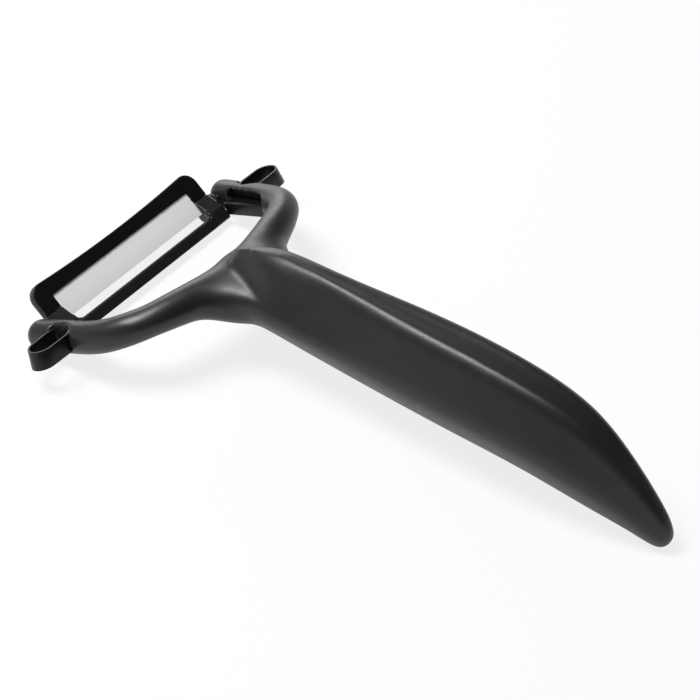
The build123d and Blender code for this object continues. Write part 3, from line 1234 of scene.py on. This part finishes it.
    def seats(self) -> list[Obj]:
        """Models what each arm gives up: loop seat, pocket, window, rail opening, nose flat and pin hole.

        Returns:
            The closed meshes to cut out.
        """
        remover = self.eye_remover
        pivot = self.plane.at(0, 0, 0)
        face = self.half_span - self.nose_radius + self.nose_flat
        inner = remover.rail_inner - self.window_depth
        rail_low, rail_high = remover.rail_top - remover.rail_height, remover.rail_top
        tools = []
        for side in Side:
            above, below = self.loop_seat_above, self.loop_seat_below
            tools.append(remover.leaf("loop_seat", side, -self.loop_clearance, above=above, below=below))
            tools.append(remover.pocket("pocket", side, self.pocket_clearance, remover.pocket_above))
            xs = (inner, remover.rail_inner + self.window_depth)
            zs = (rail_high - self.window_sill, rail_high + self.window_height)
            along = remover.along_rail(self.window_overrun)
            window = self.plane.block_beside("window", side, xs, along, zs)
            round_edges(window, self.window_round, segments=6)
            tools.append(window)
            xs, zs = (inner, remover.rail_inner + self.seat_overlap), (rail_low, rail_high)
            tools.append(self.plane.block_beside("rail_opening", side, xs, remover.along_rail(), zs))
            for name, start, end, radius in (
                ("flat", face - self.flat_run, face, self.flat_radius),
                ("pin_hole", face - self.pin_hole_overrun, face + self.pin_hole_depth, self.pin_hole),
            ):
                out = Vector((side.value, 0, 0)) * MM
                tools.append(rod(name, pivot + out * start, pivot + out * end, radius * MM))
        return tools

    def shoulders(self) -> list[Obj]:
        """Models each arm's shoulder and web, which run back along the handle's side.

        Returns:
            The closed meshes.
        """
        growth = [(radius, 0, number) for number, (_, _, _, radius) in enumerate(self.shoulder)]
        sizes = spline_through(growth, self.shoulder_rings)[:, 0]
        found = []
        for side in Side:
            middles = [(side.value * x, y, z) for x, y, z, _ in self.shoulder]
            places = spline_through(middles, self.shoulder_rings)
            rings = tube_rings(places * MM, sizes * MM, TUBE_SIDES, np.array(UP))
            found.append(lofted("shoulder", rings, 2))
            spots = [(side.value * x, y, z - drop) for x, y, z in self.web for drop in (0.0, self.web_depth)]
            discs = [(Vector(spot) * MM, self.web_edge * MM, UP) for spot in spots]
            found.append(hull("web", discs, sides=8))
        return found

    def draw_in_sides(self, body: Obj) -> None:
        """Draws the handle's sides in above the creases.

        Args:
            body: the handle's body.
        """
        points = points_of(body)
        amount = np.zeros(len(points))
        start, run = self.scoop_wave
        for side in Side:
            knots = [(side.value * x * MM, y * MM, z * MM) for x, y, z in self.crease]
            gap, share = near_path(points, spline_through(knots, LINE_POINTS))
            depth = self.scoop_depth * MM * np.sin(np.pi * np.clip(share * run + start, 0, 1))
            dent = depth * np.exp(-((gap / (self.scoop_radius * MM)) ** 2))
            amount += np.where(points[:, 0] * side.value > 0, dent, 0)
        set_points(body, points - amount[:, None] * normals_of(body))

    def build(self, material: Material) -> Obj:
        """Models the moulding and dresses it.

        Args:
            material: its finish.

        Returns:
            The piece.
        """
        body = self.grip()
        self.draw_in_sides(body)
        select_only(body, self.fork(), *self.shoulders())
        bpy.ops.object.join()
        remeshed(body, self.voxel * MM)
        skin = Skin(body)
        self.blend.smooth(skin)
        skin.write()
        select_only(body)
        bpy.ops.object.shade_smooth()
        finish_piece(body, Body.HANDLE, Slot.HANDLE, material, "handle_body")
        return body


@dataclass
class BladeHead:
    """The swinging head: its CAD solids have the right shape and get their finishes."""

    dressed: tuple = (
        ("ceramic_blade", Slot.BLADE),
        ("pivot_pin_left", Slot.PIN),
        ("pivot_pin_right", Slot.PIN),
    )
    # Mouldings whose edges are softened: node, slot, voxel in millimetres, smoothing rounds
    softened: tuple = (("blade_carrier", Slot.CARRIER, 0.17, 5), ("blade_clamp", Slot.CLAMP, 0.15, 1))

    def build(self, materials: dict[Slot, Material]) -> list[Obj]:
        """Gives each solid its finish, and the mouldings their rounded edges.

        Args:
            materials: the finishes by slot.

        Returns:
            The head's pieces.
        """
        pieces = [dress_node(name, materials[slot]) for name, slot in self.dressed]
        for name, slot, voxel, rounds in self.softened:
            piece = copy_of_node(name, f"{name}_moulding")
            remeshed(piece, voxel * MM)
            skin = Skin(piece)
            skin.relax(np.ones(len(skin.points)), rounds)
            skin.write()
            select_only(piece)
            bpy.ops.object.shade_smooth()
            finish_piece(piece, Body.HEAD, slot, materials[slot], name)
            pieces.append(piece)
        return pieces


def copy_of_node(name: str, new_name: str) -> Obj:
    """Copies a CAD node's mesh into a new, merged object.

    Args:
        name: the node.
        new_name: the copy's name.

    Returns:
        The copy, which rides on nothing yet.
    """
    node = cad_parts[name]
    piece = bpy.data.objects.new(new_name, node.data.copy())
    bpy.context.scene.collection.objects.link(piece)
    select_only(piece)
    bpy.ops.object.mode_set(mode="EDIT")
    bpy.ops.mesh.select_all(action="SELECT")
    bpy.ops.mesh.remove_doubles(threshold=NODE_WELD)
    bpy.ops.object.mode_set(mode="OBJECT")
    return piece


def dress_node(name: str, material: Material) -> Obj:
    """Gives a CAD node that stays its finish.

    Args:
        name: the node.
        material: its finish.

    Returns:
        The node's object.
    """
    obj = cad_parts[name]
    obj.data.materials.clear()
    obj.data.materials.append(material)
    return obj


# Studio


@dataclass
class Studio:
    """Floor, light and camera: its place and lens in millimetres, all else in metres and watts."""

    target: tuple = (8.8, 11.7, -0.883)
    azimuth: float = -52.9
    elevation: float = 42.3
    distance: float = 460.95
    lens: float = 113.14
    sensor: float = 36.0
    clip: tuple = (0.01, 10.0)
    floor_size: float = 3.0
    floor_drop: float = 0.0002
    floor_tone: tuple = (0.86, 0.86, 0.86, 1.0)
    floor_shadow: float = 0.2
    world_strength: float = 0.23
    # In gloss the room is white at the horizon behind, and dims overhead and behind the camera
    horizon: tuple = (0.0, 0.35)
    overhead: float = 0.1
    front_to_back: tuple = (-0.6, 0.3)
    front_share: float = 0.15
    # Name, place, size and power
    lamps: tuple = (
        ("overhead_softbox", (-0.14, 0.33, 0.7), (0.26, 0.34), 6.2),
        ("back_softbox", (0.5, 0.65, 0.25), (0.5, 0.3), 2.0),
    )
    lamp_aim: tuple = (0.0, 0.01, 0.01)

    def white_floor(self) -> Obj:
        """Adds the pale floor, which looks white apart from the object's shadow.

        Returns:
            The floor.
        """
        select_only()
        bpy.ops.mesh.primitive_plane_add(size=self.floor_size, location=(0, 0, -self.floor_drop))
        floor = bpy.context.object
        floor.name = "floor"
        bpy.ops.object.transform_apply(location=True, rotation=True, scale=True)
        material = bpy.data.materials.new("pale_floor")
        material.use_nodes = True
        tree = material.node_tree
        tree.nodes.clear()
        matt = add_node(tree, "BsdfDiffuse", {"Color": self.floor_tone})
        glow = add_node(tree, "Emission", {"Color": WHITE, "Strength": 1.0})
        seen = self.seen_by_eye(tree, in_gloss=True)
        share = calculated(tree, "MULTIPLY", seen, 1 - self.floor_shadow)
        mix = add_node(tree, "MixShader", {0: share, 1: matt.outputs[0], 2: glow.outputs[0]})
        add_node(tree, "OutputMaterial", {"Surface": mix.outputs[0]})
        floor.data.materials.append(material)
        return floor

    @staticmethod
    def seen_by_eye(tree: Tree, in_gloss: bool) -> Socket:
        """Makes a factor that is 1 for what the camera sees, also through glass.

        Args:
            tree: the material's or world's node tree.
            in_gloss: whether what gloss and metal reflect counts too.

        Returns:
            The factor's socket.
        """
        rays = add_node(tree, "LightPath").outputs
        seen = calculated(tree, "MAXIMUM", rays["Is Camera Ray"], rays["Is Transmission Ray"])
        if in_gloss:
            seen = calculated(tree, "MAXIMUM", seen, rays["Is Glossy Ray"])
        return seen

    def room(self) -> None:
        """Adds the world: white to the eye, a soft gradient in gloss, and a plain level as light."""
        world = bpy.data.worlds.new("studio")
        bpy.context.scene.world = world
        world.use_nodes = True
        tree = world.node_tree
        tree.nodes.clear()
        ray = add_node(tree, "SeparateXYZ", {"Vector": add_node(tree, "TexCoord").outputs["Generated"]})
        level = ramp(tree, ray.outputs["Z"], self.horizon, (1.0, self.overhead))
        behind = ramp(tree, ray.outputs["Y"], self.front_to_back, (self.front_share, 1.0))
        gloss = calculated(tree, "MULTIPLY", level, behind)
        path = add_node(tree, "LightPath")
        lit = {"Value": path.outputs["Is Glossy Ray"], "To Min": self.world_strength, "To Max": gloss}
        unseen = add_node(tree, "MapRange", lit).outputs[0]
        shown = {"Value": self.seen_by_eye(tree, in_gloss=False), "To Min": unseen, "To Max": 1.0}
        strength = add_node(tree, "MapRange", shown).outputs[0]
        back = add_node(tree, "Background", {"Color": WHITE, "Strength": strength})
        add_node(tree, "OutputWorld", {"Surface": back.outputs[0]})

    def softboxes(self) -> None:
        """Adds the lamps, which aim at the object's middle."""
        for name, place, size, power in self.lamps:
            data = bpy.data.lights.new(name, "AREA")
            data.shape = "RECTANGLE"
            data.size, data.size_y = size
            data.energy = power
            lamp = bpy.data.objects.new(name, data)
            bpy.context.scene.collection.objects.link(lamp)
            lamp.location = place
            aim = Vector(self.lamp_aim) - Vector(place)
            lamp.rotation_euler = aim.to_track_quat("-Z", "Y").to_euler()

    def camera(self) -> Obj:
        """Adds the camera at the photograph's place and angle.

        Returns:
            The camera.
        """
        around_z, up = math.radians(self.azimuth), math.radians(self.elevation)
        back = Vector((math.sin(around_z) * math.cos(up), -math.cos(around_z) * math.cos(up), math.sin(up)))
        data = bpy.data.cameras.new("camera")
        data.lens, data.sensor_width = self.lens, self.sensor
        data.clip_start, data.clip_end = self.clip
        camera = bpy.data.objects.new("camera", data)
        bpy.context.scene.collection.objects.link(camera)
        camera.location = (Vector(self.target) + back * self.distance) * MM
        camera.rotation_euler = (-back).to_track_quat("-Z", "Y").to_euler()
        bpy.context.scene.camera = camera
        return camera

    def build(self) -> None:
        """Adds the whole studio and sets the plain view transform."""
        self.camera()
        self.white_floor()
        self.room()
        self.softboxes()
        bpy.context.scene.view_settings.view_transform = "Standard"


def main() -> None:
    """Builds the sub-assemblies in order and reports each piece."""
    logging.basicConfig(level=logging.INFO, format="%(name)s: %(message)s")
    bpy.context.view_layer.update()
    materials = finishes()
    Studio().build()
    plane = ForkPlane()
    remover = EyeRemover(plane)
    for side in Side:
        LOG.info("built %s", remover.build(side, materials[Slot.EYE_REMOVER]).name)
    handle = HandleMoulding(plane, remover, NeckBlend()).build(materials[Slot.HANDLE])
    LOG.info("built %s with %d faces", handle.name, len(handle.data.polygons))
    cover = dress_node("handle_underside_cover", materials[Slot.HANDLE])
    LOG.info("dressed %s", cover.name)
    for piece in BladeHead().build(materials):
        LOG.info("dressed %s", piece.name)


if __name__ == "__main__":
    main()
